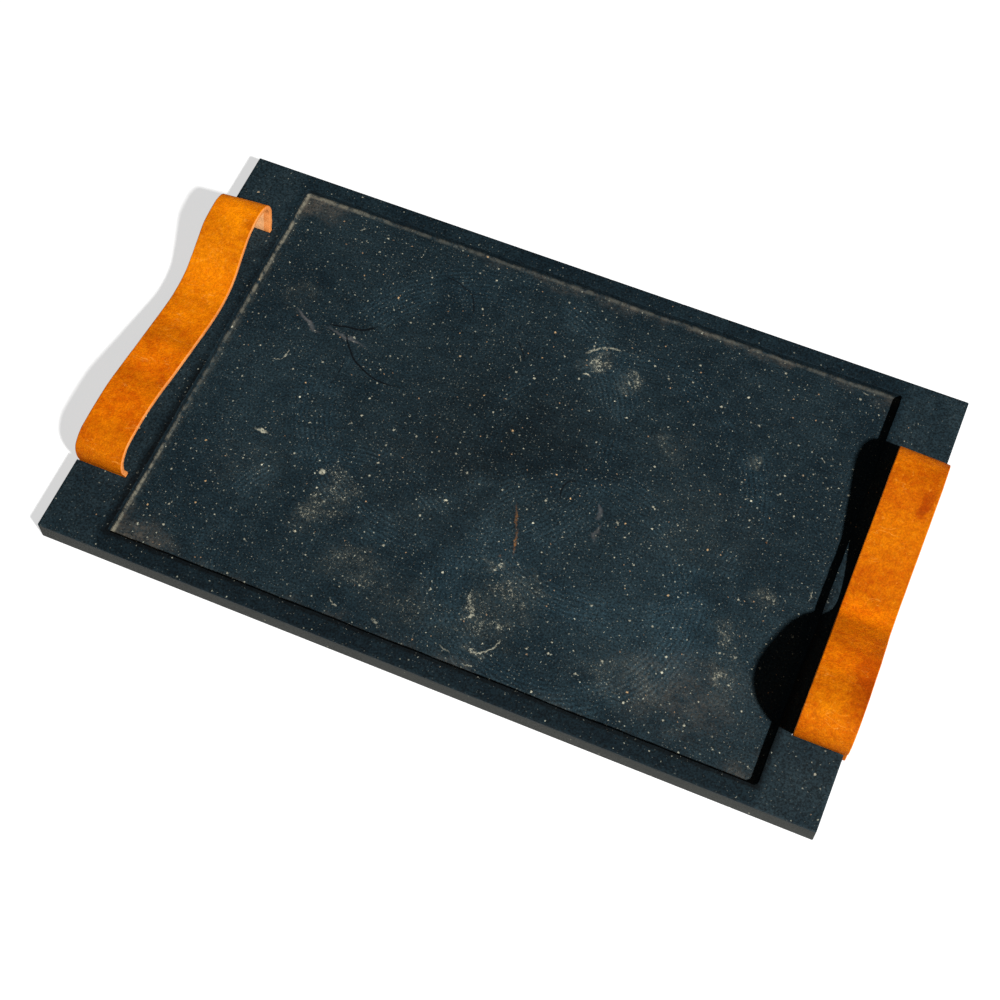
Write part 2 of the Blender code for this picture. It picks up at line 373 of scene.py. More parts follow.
def cut_away(mesh, cutter):
    """A mesh with the cutter taken out of it. The cutter is used up."""
    source = linked("source", mesh)
    change = source.modifiers.new("cut", "BOOLEAN")
    change.operation = "DIFFERENCE"
    change.solver = "EXACT"
    change.object = cutter
    change.use_self = True
    view = bpy.context.evaluated_depsgraph_get()
    result = bpy.data.meshes.new_from_object(source.evaluated_get(view))
    for used in (source, cutter):
        bpy.data.objects.remove(used, do_unlink=True)
    return result


def add_piece(name, mesh, materials, node):
    """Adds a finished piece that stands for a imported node."""
    mesh.name = name
    while len(mesh.materials) < len(materials):
        mesh.materials.append(None)
    for number, material in enumerate(materials):
        mesh.materials[number] = material
    piece = linked(name, mesh)
    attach(piece, BODY)
    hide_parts(node)


# Stone

# These tables are in millimetres. Chalky dust lies in patches on the recess floor: place, half-lengths, turn
# in degrees, strength
DUST_PATCHES = [
    ((19, -64), (9, 4), 20, 0.9), ((40, -66), (8, 4), -20, 0.7), ((47, -76), (9, 2.5), 8, 1.0),
    ((15, -95), (6, 13), 0, 0.9), ((33, -106), (9, 7), -20, 1.0), ((15, -109), (7, 5), 0, 0.9),
    ((30, -119), (10, 5), 8, 0.7), ((31, -92), (24, 36), -14, 0.55), ((-96, -66), (17, 34), -28, 0.62),
    ((-62, -98), (30, 17), 10, 0.55), ((164, -69), (12, 34), 12, 0.50), ((166, -84), (9, 9), 0, 0.80),
    ((172, -24), (12, 8), 0, 0.60), ((20, 92), (16, 9), 40, 0.65), ((46, 84), (8, 8), -35, 0.60),
    ((86, 53), (22, 15), 0, 0.35), ((139, 63), (5, 7), 0, 0.80), ((-174, 64), (18, 14), 0, 0.35),
    ((120, 10), (60, 40), 0, 0.12), ((-150, -60), (36, 26), 30, 0.14), ((-20, -110), (40, 24), 0, 0.25),
    ((110, -105), (44, 22), 0, 0.30), ((-60, -30), (90, 60), 0, 0.08),
]

# Chalk marks on the recess floor: place, half-lengths, turn in degrees, strength
CHALK_MARKS = [
    ((-152.6, -36.2), (5.2, 1.6), 5, 1.0), ((-105.4, -47.9), (2.5, 2.3), 0, 0.8),
    ((-28, -36.5), (1.5, 1.3), 0, 1.0), ((18, 80), (3.2, 1.0), 0, 0.8), ((-25, 75), (2.6, 0.5), -60, 0.6),
    ((197, -11), (0.45, 5.5), 7, 0.6), ((98.5, -98.6), (1.5, 1.3), 0, 0.8), ((87, -112), (1.3, 1.2), 0, 0.9),
    ((74, -10.5), (1.8, 0.9), -45, 0.7),
    ((90, 8), (1.0, 0.8), 0, 0.7), ((169, -66), (1.2, 1.0), 0, 0.7), ((140, 35), (0.9, 0.8), 0, 0.6),
    ((124, 24), (0.9, 0.7), 0, 0.6), ((45, 85), (2.6, 0.8), -35, 0.6), ((184, 135), (2.4, 0.5), -20, 0.5),
    ((175, 79), (2.8, 0.5), -50, 0.6), ((177, 96), (0.8, 0.8), 0, 0.6), ((28, -131), (4.5, 0.5), 8, 0.45),
    ((11, -127), (5.0, 0.7), -15, 0.35), ((-34, -127), (3.2, 1.2), -20, 0.45),
    ((-159, 127), (2.6, 0.8), 35, 0.5), ((-104, -10), (1.1, 0.7), 20, 0.5), ((-165, -60), (1.0, 0.8), 0, 0.4),
]

# Curved strokes: centre, radius, half-width, direction of its middle and half-angle in degrees, strength
CHALK_ARCS = [((-170, 21), 7.2, 0.45, -30, 62, 0.7), ((-59, -120), 6.5, 0.5, 235, 40, 0.5),
              ((24, -108), 15.0, 0.6, -42, 40, 0.55), ((30, 84), 21.0, 0.7, 118, 36, 0.45)]
HAIR_ARCS = [((-94, 72), 47.0, 0.75, 241, 35, 1.0), ((-152, 118), 67.0, 0.95, 287, 15, 1.0),
             ((-92, 88), 26.0, 0.70, 52, 44, 0.8), ((44, -2), 9.0, 0.90, 160, 62, 0.9),
             ((-60, 52), 45.0, 0.8, 40, 10, 0.7), ((-205, 25), 78.0, 0.7, -2, 9, 0.6)]

# Concentric arcs left by the grinding: centre, middle radius, half-width of the band
CHATTER = [((-40, 25), 95, 22), ((60, -62), 74, 20), ((62, 14), 86, 16), ((-75, -105), 76, 14)]
CHATTER_PITCH = 3.1

# Dust dragged by fingers, rust and brown dust against the walls: as the chalk marks above
FINGER_DUST = [((-162, 48), (13, 2.2), -28, 0.9), ((-133, 47), (20, 2.0), -2, 0.7),
               ((61, -8), (7, 2.0), -60, 0.5), ((66, -22), (2.0, 8), 0, 0.5)]
RUST_STREAKS = [((16, -30), (1.1, 12), 22, 0.8), ((22, -46), (1.2, 11), 14, 1.0),
                ((17, -58.5), (1.4, 1.2), 0, 0.8), ((-23, 44), (1.1, 0.9), 0, 0.9),
                ((161, 12), (0.9, 0.9), 0, 0.8)]
NOOKS = [((-204, -138), (48, 30), 0, 1.5), ((-204, 141), (46, 24), 0, 1.6), ((60, 142), (190, 11), 0, 0.7),
         ((-20, -142), (210, 14), 0, 0.6), ((206, 139), (24, 16), 0, 0.9), ((206, -137), (30, 26), 0, 0.7),
         ((150, -100), (60, 40), 0, 0.35)]

RUBBED_CLEAN = [((-5, 20), (110, 75), -10, 1.0)]
DUSTY_ENDS = [((130, -75), (110, 70), 0, 1.0), ((-170, -20), (50, 110), 0, 0.4)]

# Sizes of the hand-ground swells, waves and teeth along the recess's edge and floor, in metres
FLOOR_SWELL, LONG_WAVE, SHORT_WAVE, TOOTH = 0.045, 0.038, 0.009, 0.0024
STONE_SHARP = math.radians(32)
CHIP_SEED = 11
HONED, GROUND, SAWN = range(3)


def in_metres(point):
    """A flat place of the tables above, in metres."""
    return point[0] * MM, point[1] * MM, 0.0


def strongest(masks):
    """The strongest of several masks, joined one by one as they are made."""
    result = None
    for mask in masks:
        result = mask if result is None else result.highest(mask)
    return result


def ellipse(paint, place, centre, halves, turn):
    """How far out a flat place is, where 1 is on the ellipse."""
    angle = math.radians(turn)
    along = Vector((math.cos(angle), math.sin(angle), 0.0)) / (halves[0] * MM)
    across = Vector((-math.sin(angle), math.cos(angle), 0.0)) / (halves[1] * MM)
    middle = Vector(in_metres(centre))
    local = paint.node("ShaderNodeCombineXYZ", {}, {0: paint.vector("DOT_PRODUCT", place, along),
                                                    1: paint.vector("DOT_PRODUCT", place, across), 2: 0.0})
    return paint.vector("DISTANCE", local, (along.dot(middle), across.dot(middle), 0.0))


def spots(paint, place, marks, soft):
    """A mask over several ellipses; soft is how much of each fades."""
    return strongest(ellipse(paint, place, centre, halves, turn).within(1.0, 1.0 - soft) * strength
                     for centre, halves, turn, strength in marks)


def arcs(paint, place, marks):
    """A mask over several arcs, thinner towards their ends."""
    def arc(centre, radius, half_width, middle, half_angle, strength):
        away = paint.vector("DISTANCE", place, in_metres(centre))
        angle = math.radians(middle)
        local = paint.vector("SUBTRACT", place, in_metres(centre))
        along = paint.vector("DOT_PRODUCT", local, (math.cos(angle), math.sin(angle), 0.0)) / away
        off = abs(away - radius * MM)
        ends = along.within(math.cos(math.radians(half_angle)), math.cos(math.radians(half_angle * 0.7)))
        return (off / (half_width * MM)).within(1.0, 0.4) * ends * strength

    return strongest(arc(*mark) for mark in marks)


def chatter(paint, place):
    """Fine rings in bands around the grinder's centres, from 0 to 1."""
    def ringed(centre, radius, half_width):
        away = paint.vector("DISTANCE", place, in_metres(centre))
        band = (abs(away - radius * MM) / (half_width * MM)).within(1.0, 0.3)
        return band * ((away * (math.tau / (CHATTER_PITCH * MM))).maths("SINE") * 0.5 + 0.5)

    return strongest(ringed(*band) for band in CHATTER) * paint.noise(0.024, 1.0).within(0.38, 0.56)


def wall_distance(x, y, radius):
    """How far a point lies outside the recess, with its rounded corners; below zero is inside."""
    middle = (RECESS_LOW + RECESS_HIGH) / 2
    half = (RECESS_HIGH - RECESS_LOW) / 2
    across = abs(x - middle.x) - half.x + radius
    along = abs(y - middle.y) - half.y + radius
    return math.hypot(max(across, 0), max(along, 0)) + min(max(across, along), 0) - radius


def stone_tone(paint, settings):
    """The stone's own colour with its clouds and grain, and the grain."""
    clouds = paint.noise(0.070, 3.0) * 0.5 + paint.noise(0.011, 4.0, 0.6) * 0.5
    grain = paint.noise(0.0013, 2.0, 0.7).within(0.30, 0.70)
    tone = paint.mix(clouds.within(0.34, 0.66), settings.dark, settings.light)
    return paint.multiply(tone, 0.42 + grain * 1.12), grain


def foot_dust(paint, x, y):
    """Dust swept against the foot of the recess's walls, thickest on the left."""
    ends = abs((y + 0.010) / 0.12).within(0.10, 0.95)
    broken = paint.noise(0.005, 4.0, 0.75)
    left = ((x - RECESS_LOW.x - 0.6 * MM) / (2.0 * MM)).within(1.0, 0.35) * (0.30 + ends * 0.70)
    soft = ((x - RECESS_LOW.x) / (6.0 * MM)).within(1.0, 0.20) * 0.16
    corner = x.within(-0.12, -0.20)
    far = ((RECESS_HIGH.y - y) / (2.6 * MM)).within(1.0, 0.40) * (0.28 + corner * 0.50)
    near = ((y - RECESS_LOW.y) / (5.0 * MM)).within(1.0, 0.20) * 0.12
    return left.highest(soft).highest(far).highest(near) * broken.within(0.36, 0.62)


def honed_stone(settings):
    """The upper face and the recess floor: dark stone under specks, dust, chalk and hairs, with painted shade
    along the recess's near edge.
    """
    paint = Paint("honed_stone", Specular_IOR_Level=0.11)
    tone, grain = stone_tone(paint, settings)
    x, y, z = paint.channels(paint.place)
    on_floor = z.within(FLOOR_Z + 3.2 * MM, FLOOR_Z + 2.4 * MM)
    broken = paint.moved(0.0018, 0.0022)
    ragged = paint.moved(0.0009, 0.0007)
    drifting = paint.moved(0.014, 0.016)
    fine = paint.noise(0.0016, 4.0, 0.72)
    wiped = paint.noise(0.0045, 3.0, 0.6, paint.stretched(paint.moved(0.020, 0.060), (0.22, 1.0, 1.0), 0.6))
    # The floor is rubbed clean in the middle and dustiest at its ends
    clean = spots(paint, drifting, RUBBED_CLEAN, 1.0)
    hazy = spots(paint, drifting, DUSTY_ENDS, 1.0)
    level = 1.0 - clean * 0.38 + hazy * 0.38 + (wiped - 0.5) * 0.7
    ends = abs(x).within(RECESS_HIGH.x - 1 * MM, RECESS_HIGH.x + 6 * MM)
    # Painted shade: the upper face is darkened in a strip beside the recess's near edge, which faces away from
    # the light
    painted_edge_shade = (y - RECESS_LOW.y).within(-3.2 * MM, -1.6 * MM) * (y / SLAB_LOW.y).within(0.0, 0.1)
    far = (y / SLAB_HIGH.y).within(0.5, 0.9) * 0.20
    rim = (settings.rim_shade + ends * 0.58 + far) * (1.0 - painted_edge_shade * (1.0 - ends) * 0.65)
    tone = paint.multiply(tone, on_floor * level + (1.0 - on_floor) * rim)
    tint = paint.mix(ends, (0.90, 1.03, 1.08), (1.12, 0.98, 0.94))
    tone = paint.vector("MULTIPLY", tone, paint.mix(on_floor, tint, (1.0, 1.0, 1.0)))
    # Chalky dust in drifting patches, made of crumbs
    patches = spots(paint, drifting, DUST_PATCHES, 0.75) * on_floor
    clusters = paint.noise(0.013, 4.0, 0.65).within(0.36, 0.62)
    haze = patches * (0.30 + clusters * 0.80)
    tone = paint.mix(haze * fine.within(0.35, 0.65) * 0.20, tone, (0.22, 0.22, 0.17))
    crumbs = paint.grit(0.0014, haze * 1.25 + on_floor * clusters * 0.16)
    tone = paint.mix(crumbs * (0.26 + haze * 0.24), tone, settings.chalk)
    # Brown dust against the walls and in the corners
    corner_dust = spots(paint, drifting, NOOKS, 1.0) * on_floor
    browned = (corner_dust * (0.25 + clusters * 0.75) * fine.within(0.30, 0.62)).clamped()
    tone = paint.mix(browned * 0.60, tone, (0.140, 0.112, 0.082))
    swept = foot_dust(paint, x, y) * on_floor
    tone = paint.mix(swept * 0.92, tone, settings.dust)
    # Mineral specks and grains of dust
    busy = on_floor * 0.26 + 0.16 + haze * 0.80
    small, _ = paint.specks(0.0019, 0.00036, busy, ragged)
    tone = paint.mix(small * 0.60, tone, (0.135, 0.140, 0.115))
    middling, tint = paint.specks(0.0046, 0.00058, on_floor * 0.22 + 0.14 + haze * 0.60, ragged)
    cream = paint.mix(tint.within(0.91, 0.94), (0.34, 0.34, 0.26), (0.34, 0.21, 0.11))
    tone = paint.mix(middling * (0.25 + tint * 0.60), tone, cream)
    large, tint = paint.specks(0.0130, 0.00095, on_floor * 0.22 + 0.10 + haze * 0.20, ragged)
    cream = paint.mix(tint.within(0.86, 0.90), settings.chalk, (0.45, 0.29, 0.14))
    tone = paint.mix(large * (0.40 + tint * 0.50), tone, cream)
    # Fingered dust, chalk marks, rust and dark hairs
    fingered = spots(paint, paint.moved(0.006, 0.010), FINGER_DUST, 0.95) * on_floor
    tone = paint.mix(fingered * (0.10 + fine * 0.30), tone, (0.30, 0.28, 0.27))
    marks = (spots(paint, broken, CHALK_MARKS, 0.60).highest(arcs(paint, broken, CHALK_ARCS))) * on_floor
    tone = paint.mix(marks * fine.within(0.30, 0.60) * 0.85, tone, settings.chalk)
    rust = spots(paint, broken, RUST_STREAKS, 0.9) * on_floor * fine.within(0.32, 0.60)
    tone = paint.mix(rust * 0.55, tone, (0.24, 0.100, 0.022))
    hairs = arcs(paint, paint.moved(0.004, 0.030), HAIR_ARCS) * on_floor
    tone = paint.mix(hairs * 0.95, tone, (0.0012, 0.0022, 0.0034))
    rings = chatter(paint, paint.moved(0.0012, 0.020)) * on_floor
    tone = paint.multiply(tone, 1.0 + rings * 0.60)
    height = grain * 0.000060 + fine * 0.000090
    dusty = (haze * 0.25 + browned * 0.3 + swept * 0.3 + marks * 0.3).clamped()
    return paint.finish(tone, 0.66 + grain * 0.12 + dusty, height)


def ground_stone(settings):
    """The recess walls: roughly ground, with dust caught low down."""
    paint = Paint("ground_stone", Specular_IOR_Level=0.11)
    tone, grain = stone_tone(paint, settings)
    x, y, z = paint.channels(paint.place)
    low = z.within(FLOOR_Z + 2.6 * MM, FLOOR_Z + 0.9 * MM)
    dust_and_painted_light = paint.noise(0.0030, 4.0, 0.7).within(0.46, 0.70)
    swept = foot_dust(paint, x, y)
    tone = paint.vector("MULTIPLY", tone, (0.68, 0.80, 0.86))
    tone = paint.mix((low * swept + dust_and_painted_light * 0.035).clamped(), tone, settings.dust)
    height = paint.noise(0.0022, 4.0, 0.65) * 0.00022 + grain * 0.00006
    return paint.finish(tone, 0.66 + grain * 0.2, height)


def sawn_stone(settings):
    """The sides and the underside: sawn, matt and lighter, with the blade's faint lines."""
    paint = Paint("sawn_stone", Specular_IOR_Level=0.20)
    z = paint.channels(paint.place)[2]
    cloud = paint.noise(0.035, 4.0, 0.6).within(0.30, 0.70)
    grain = paint.noise(0.0011, 3.0, 0.7).within(0.30, 0.70)
    lined = paint.stretched(paint.place, (0.04, 0.04, 1.0))
    lines = paint.noise(0.0009, 2.0, 0.6, lined).within(0.30, 0.70)
    tone = paint.multiply(settings.sawn, 0.55 + grain * 0.50 + lines * 0.20 + cloud * 0.20)
    arris = z.within(SLAB_HIGH.z - 2.6 * MM, SLAB_HIGH.z - 1.2 * MM)
    tone = paint.mix(arris * 0.80, tone, settings.dark)
    specks, _ = paint.specks(0.0045, 0.0008, 0.16)
    tone = paint.mix(specks * 0.6, tone, settings.chalk)
    height = lines * 0.00008 + grain * 0.00010
    return paint.finish(tone, 0.68 + grain * 0.15, height)


def corners_at(low, high, z):
    """A rectangle's corners at one height, from the lowest anticlockwise."""
    places = (low.x, low.y), (high.x, low.y), (high.x, high.y), (low.x, high.y)
    return [Vector((*place, z)) for place in places]


def chip_cutter(settings):
    """Small lumps along the arrises and the recess's edge, which a Boolean takes out of the stone."""
    draw = random.Random(CHIP_SEED)
    noise.seed_set(CHIP_SEED)
    shape = bmesh.new()
    slab, recess = (corners_at(low, high, SLAB_HIGH.z)
                    for low, high in ((SLAB_LOW, SLAB_HIGH), (RECESS_LOW, RECESS_HIGH)))
    under = corners_at(SLAB_LOW, SLAB_HIGH, 0.0)
    # Each edge that chips: its ends, and how much it chips
    runs = [(slab[0], slab[1], 1.0), (slab[1], slab[2], 1.0), (slab[2], slab[3], 1.4),
            (slab[3], slab[0], 1.0), (under[0], under[1], 0.7), (recess[2], recess[3], 2.2),
            (recess[3], recess[0], 1.3), (recess[0], recess[1], 0.8)]
    lengths = [(end - start).length * weight for start, end, weight in runs]
    for (start, end, _), share in zip(runs, lengths):
        count = round(settings.chips * share / sum(lengths))
        for number in range(count):
            along = (number + draw.uniform(0.25, 0.75)) / count
            middle = start.lerp(end, 0.012 + 0.976 * along)
            radius = settings.chip_size * (0.35 + 0.65 * draw.random() ** 2.5)
            squash = Vector((draw.uniform(0.8, 1.5), draw.uniform(0.8, 1.5), draw.uniform(0.45, 0.8)))
            turn = Matrix.Rotation(draw.uniform(0, math.tau), 4, "Z")
            shift = Vector((draw.uniform(-0.3, 0.3), draw.uniform(-0.3, 0.3), draw.uniform(0.0, 0.3)))
            place = Matrix.Translation(middle + shift * radius) @ turn
            place = place @ Matrix.Diagonal((*squash * radius, 1.0))
            lump = bmesh.ops.create_icosphere(shape, subdivisions=2, radius=1.0, matrix=place)
            for vert in lump["verts"]:
                vert.co += noise.noise_vector(vert.co / (0.5 * MM)) * radius * 0.22
    return linked("chip_cutter", as_mesh(shape, "chip_cutter"))


def slice_faces(shape, faces, axis, places):
    """Cuts faces along planes across one axis; the fixed order of the parts makes every run alike."""
    borders = [part for face in faces for part in (*face.verts, *face.edges)]
    parts = list(dict.fromkeys(borders + faces))
    normal = Vector((axis == 0, axis == 1, axis == 2))
    for place in places:
        parts = bmesh.ops.bisect_plane(shape, geom=parts, dist=JOIN / 10, plane_co=normal * place,
                                       plane_no=normal)["geom"]


def spaced(low, high, step):
    """Places between two ends, about step apart."""
    count = max(1, round((high - low) / step))
    return [low + (high - low) * number / count for number in range(1, count)]


def near(away, reach):
    """1 at a distance of nothing, fading as a bell beyond reach."""
    return math.exp(-((away / reach) ** 2))


def grind(shape, settings):
    """Moves the sliced stone's corners: wandering rough walls, coved foot, worn rim and uneven floor."""
    top = SLAB_HIGH.z
    cove, rim, radius = settings.cove, settings.rim, settings.corner
    step = 0.1 * MM
    for vert in shape.verts:
        x, y, z = vert.co
        if z < FLOOR_Z - JOIN:
            continue
        away = wall_distance(x, y, radius)
        if away > 25 * MM:
            continue
        if z < FLOOR_Z + JOIN and away <= 0:
            depth = min(cove, -away)
            rise = cove - math.sqrt(max(0.0, cove * cove - (cove - depth) ** 2))
            uneven = noise.fractal(Vector((x, y, 0)) / FLOOR_SWELL, 0.8, 2.0, 3) * settings.unevenness
            vert.co.z = z + rise + uneven
        elif z > top - JOIN and away < rim:
            reach = rim - max(0.0, away)
            vert.co.z = top - (rim - math.sqrt(max(0.0, rim * rim - reach * reach)))
        slope = Vector((wall_distance(x + step, y, radius) - wall_distance(x - step, y, radius),
                        wall_distance(x, y + step, radius) - wall_distance(x, y - step, radius)))
        if slope.length > 0:
            out = slope.normalized()
            rough = 1.7 if out.y > 0.7 else 1.0
            wave = noise.noise(Vector((x, y, 0)) / LONG_WAVE + Vector((3.1, 7.7, 0))) * 1.1
            wave += noise.noise(Vector((x, y, z * 2)) / SHORT_WAVE) * 0.45 * rough
            fine = noise.noise(Vector((x, y, z)) / TOOTH) * 0.16 * rough
            shift = (wave * near(away, 3.5 * MM) + fine * near(away, 0.8 * MM)) * settings.wander
            vert.co.x += out.x * shift
            vert.co.y += out.y * shift


def stone_mesh(settings):
    """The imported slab's mesh, chipped, sliced into a grid and ground."""
    def wall_offset(face):
        return abs(wall_distance(*face.calc_center_median().xy, settings.corner))

    shape = packed_shape("granite_slab")
    bmesh.ops.dissolve_limit(shape, angle_limit=FLAT, verts=shape.verts, edges=shape.edges)
    mesh = cut_away(as_mesh(shape, "stone_slab"), chip_cutter(settings))
    shape = bmesh.new()
    shape.from_mesh(mesh)
    bmesh.ops.remove_doubles(shape, verts=shape.verts, dist=JOIN)
    shape.normal_update()
    top = SLAB_HIGH.z
    steps = [-settings.cove * share for share in (0.08, 0.25, 0.5, 0.75, 1.0)]
    steps += [settings.rim * share for share in (0.3, 0.65, 1.0)] + [2.0 * MM, 3.4 * MM]
    for axis in (0, 1):
        faces = [face for face in shape.faces if face.calc_center_median().z > FLOOR_Z - JOIN
                 and (face.normal.z > 0.5 or wall_offset(face) < 0.4 * MM)]
        places = spaced(SLAB_LOW[axis], SLAB_HIGH[axis], settings.grid)
        places += [RECESS_LOW[axis] - step for step in steps] + [RECESS_HIGH[axis] + step for step in steps]
        slice_faces(shape, faces, axis, sorted(places))
    walls = [face for face in shape.faces if abs(face.normal.z) < 0.5 and wall_offset(face) < 0.2 * MM]
    slice_faces(shape, walls, 2, spaced(FLOOR_Z, top, 1.2 * MM))
    grind(shape, settings)
    shape.normal_update()
    for face in shape.faces:
        height = face.calc_center_median().z
        if wall_offset(face) < 1.2 * MM and abs(face.normal.z) < 0.75 and height > FLOOR_Z:
            face.material_index = GROUND
        elif face.normal.z > 0.3 and height > FLOOR_Z - MM:
            face.material_index = HONED
        else:
            face.material_index = SAWN
        face.smooth = True
    shape.to_mesh(mesh)
    shape.free()
    mesh.set_sharp_from_angle(angle=STONE_SHARP)
    return mesh


class SLAB_OT_stone(bpy.types.Operator):
    """Build the stone slab with its ground recess"""
    bl_idname = "stone_slab.stone"
    bl_label = "Stone"

    def execute(self, context):
        settings = context.scene.slab_stone
        materials = [honed_stone(settings), ground_stone(settings), sawn_stone(settings)]
        add_piece("stone_slab", stone_mesh(settings), materials, "granite_slab")
        return {"FINISHED"}


# Leather

GRAIN, CUT, FLESH = range(3)
LEATHER_SHARP = math.radians(50)
# Where a strap's inner edge rides high: the settings' name, place along the strap and half-length in metres
LIFTS = [("near_lift", -0.080, 0.030), ("far_lift", 0.088, 0.026)]


def centre_line(node):
    """The middle of a packed strap's thickness, as (y, z) points from its near tail to its far tail."""
    shape = packed_shape(node)
    side = min(vert.co.x for vert in shape.verts) + JOIN
    faces = {face for face in shape.faces if all(vert.co.x < side for vert in face.verts)}
    rims = [edge for edge in shape.edges if sum(face in faces for face in edge.link_faces) == 1]
    neighbours = {}
    for edge in rims:
        first, second = edge.verts
        neighbours.setdefault(first, []).append(second)
        neighbours.setdefault(second, []).append(first)
    low = [vert for vert in neighbours if vert.co.z < SLAB_HIGH.z / 2]
    near_tips = sorted((vert for vert in low if vert.co.y < 0), key=lambda vert: -vert.co.y)[:2]
    far_tips = sorted((vert for vert in low if vert.co.y > 0), key=lambda vert: vert.co.y)[:2]
    lines = []
    for tip, other in (near_tips, near_tips[::-1]):
        line, previous = [tip], other
        while line[-1] not in far_tips:
            following = next(vert for vert in neighbours[line[-1]] if vert is not previous)
            previous = line[-1]
            line.append(following)
        lines.append([Vector((vert.co.y, vert.co.z)) for vert in line])
    shape.free()
    middle = []
    for point in lines[0]:
        closest = min(lines[1], key=lambda candidate: (candidate - point).length)
        place = lines[1].index(closest)
        for end in (place - 1, place + 1):
            if 0 <= end < len(lines[1]):
                start = lines[1][place]
                along = lines[1][end] - start
                share = min(1.0, max(0.0, (point - start).dot(along) / along.length_squared))
                candidate = start + along * share
                if (candidate - point).length < (closest - point).length:
                    closest = candidate
        middle.append((point + closest) / 2)
    return middle


def resampled(points, step):
    """A smooth line through points, as evenly spaced points and their directions."""
    ends = [points[0] * 2 - points[1]] + points + [points[-1] * 2 - points[-2]]
    dense = []
    for before, start, end, after in zip(ends, ends[1:], ends[2:], ends[3:]):
        for number in range(8):
            t = number / 8
            dense.append(start + (end - before) * (t / 2)
                         + (before * 2 - start * 5 + end * 4 - after) * (t * t / 2)
                         + (start * 3 - before - end * 3 + after) * (t ** 3 / 2))
    dense.append(points[-1])
    travelled = [0.0]
    for start, end in zip(dense, dense[1:]):
        travelled.append(travelled[-1] + (end - start).length)
    count = round(travelled[-1] / step)
    line, position = [], 0
    for number in range(count + 1):
        target = travelled[-1] * number / count
        while position < len(dense) - 2 and travelled[position + 1] < target:
            position += 1
        gap = max(JOIN / 100, travelled[position + 1] - travelled[position])
        share = (target - travelled[position]) / gap
        line.append(dense[position].lerp(dense[position + 1], share))
    directions = []
    for number in range(len(line)):
        directions.append((line[min(number + 1, count)] - line[max(number - 1, 0)]).normalized())
    return line, directions


def strap_section(half, thick, settings):
    """The strap's cross-section as (across, up, zone), from one end of its grain side round to the other."""
    upper, lower = settings.upper_round, settings.lower_round
    points = []
    for number in range(13):
        across = (half - upper) * (number / 6 - 1)
        points.append((across, thick - 0.10 * MM * (across / half) ** 4, GRAIN))
    top = len(points)
    for number in range(1, 5):
        angle = math.radians(90 - 22.5 * number)
        zone = GRAIN if number < 3 else CUT
        points.append((half - upper + upper * math.cos(angle), thick - upper + upper * math.sin(angle), zone))
    points.append((half, 0.0, CUT))
    for number in range(3):
        angle = math.radians(-45 * number)
        points.append((half - lower + lower * math.cos(angle), lower - thick + lower * math.sin(angle), CUT))
    flesh = [((half - lower) * (1 - number / 4), -thick, FLESH) for number in range(1, 8)]
    mirrored = [(-across, up, zone) for across, up, zone in points[top:][::-1]]
    return points + flesh + mirrored


def strap_mesh(name, settings):
    """The strap swept along its middle line, with its wavering edges and its lift."""
    node = "handle_strap_" + name
    low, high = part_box(node)
    half = (high.x - low.x) / 2
    middle_x = (low.x + high.x) / 2
    line, directions = resampled(centre_line(node), settings.step)
    section = strap_section(half, line[0].y - low.z, settings)
    # Which way is inwards, how much the inner edge lifts and where the roughness is taken from
    inner, lift_share, layer = (1.0, 1.0, 0.0) if name == "left" else (-1.0, 0.35, 40.0)
    shape = bmesh.new()
    rings = []
    travelled = 0.0
    for number, (point, direction) in enumerate(zip(line, directions)):
        if number:
            travelled += (point - line[number - 1]).length
        normal = Vector((-direction.y, direction.x))
        free = min(1.0, max(0.0, (point.y - SLAB_HIGH.z - 1.5 * MM) / (6 * MM)))
        free = free * free * (3 - 2 * free)
        lift = sum(getattr(settings, setting) * near(point.x - place, reach)
                   for setting, place, reach in LIFTS) * lift_share * free
        ring = []
        for across, up, zone in section:
            spot = Vector((travelled, across, up)) + Vector((0.0, 0.0, layer))
            sideways = 0.0
            if abs(across) / half > 0.6:
                sign = math.copysign(1.0, across)
                waver = noise.noise(Vector((travelled / 0.022, sign * 3.0, layer)))
                sideways = -abs(waver) * settings.waver * sign
                if zone == CUT:
                    sideways -= abs(noise.noise(spot / (0.9 * MM))) * settings.fray * sign
            rise = across / half * inner * lift / 2
            if zone == GRAIN:
                rise += noise.noise(spot / 0.014) * 0.10 * MM * free - 0.06 * MM * free
            if zone == FLESH:
                rise += abs(noise.noise(spot / (1.6 * MM))) * 0.12 * MM
            offset = normal * (up + rise)
            height = min(point.y + offset.y, CAD_HIGH.z)
            ring.append(shape.verts.new((middle_x + across + sideways, point.x + offset.x, height)))
        rings.append(ring)
    count = len(section)
    for first, second in zip(rings, rings[1:]):
        for number in range(count):
            following = (number + 1) % count
            face = shape.faces.new((first[number], first[following], second[following], second[number]))
            face.material_index = max(section[number][2], section[following][2] % FLESH)
    for ring in (rings[0], rings[-1]):
        shape.faces.new(ring).material_index = CUT
    bmesh.ops.recalc_face_normals(shape, faces=shape.faces)
    for face in shape.faces:
        face.smooth = True
    mesh = as_mesh(shape, node)
    for _ in (GRAIN, CUT, FLESH):
        mesh.materials.append(None)
    mesh.set_sharp_from_angle(angle=LEATHER_SHARP)
    return mesh


def screw_hole_cutter(side, radius):
    """Upright cylinders at the screws of one strap."""
    shape = bmesh.new()
    for corner in CORNERS:
        if corner.startswith(side):
            low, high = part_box("screw_" + corner)
            middle = (low + high) / 2
            bmesh.ops.create_cone(shape, cap_ends=True, segments=28, radius1=radius, radius2=radius,
                                  depth=(high.z - low.z) * 2, matrix=Matrix.Translation(middle))
    return linked("hole_cutter", as_mesh(shape, "hole_cutter"))
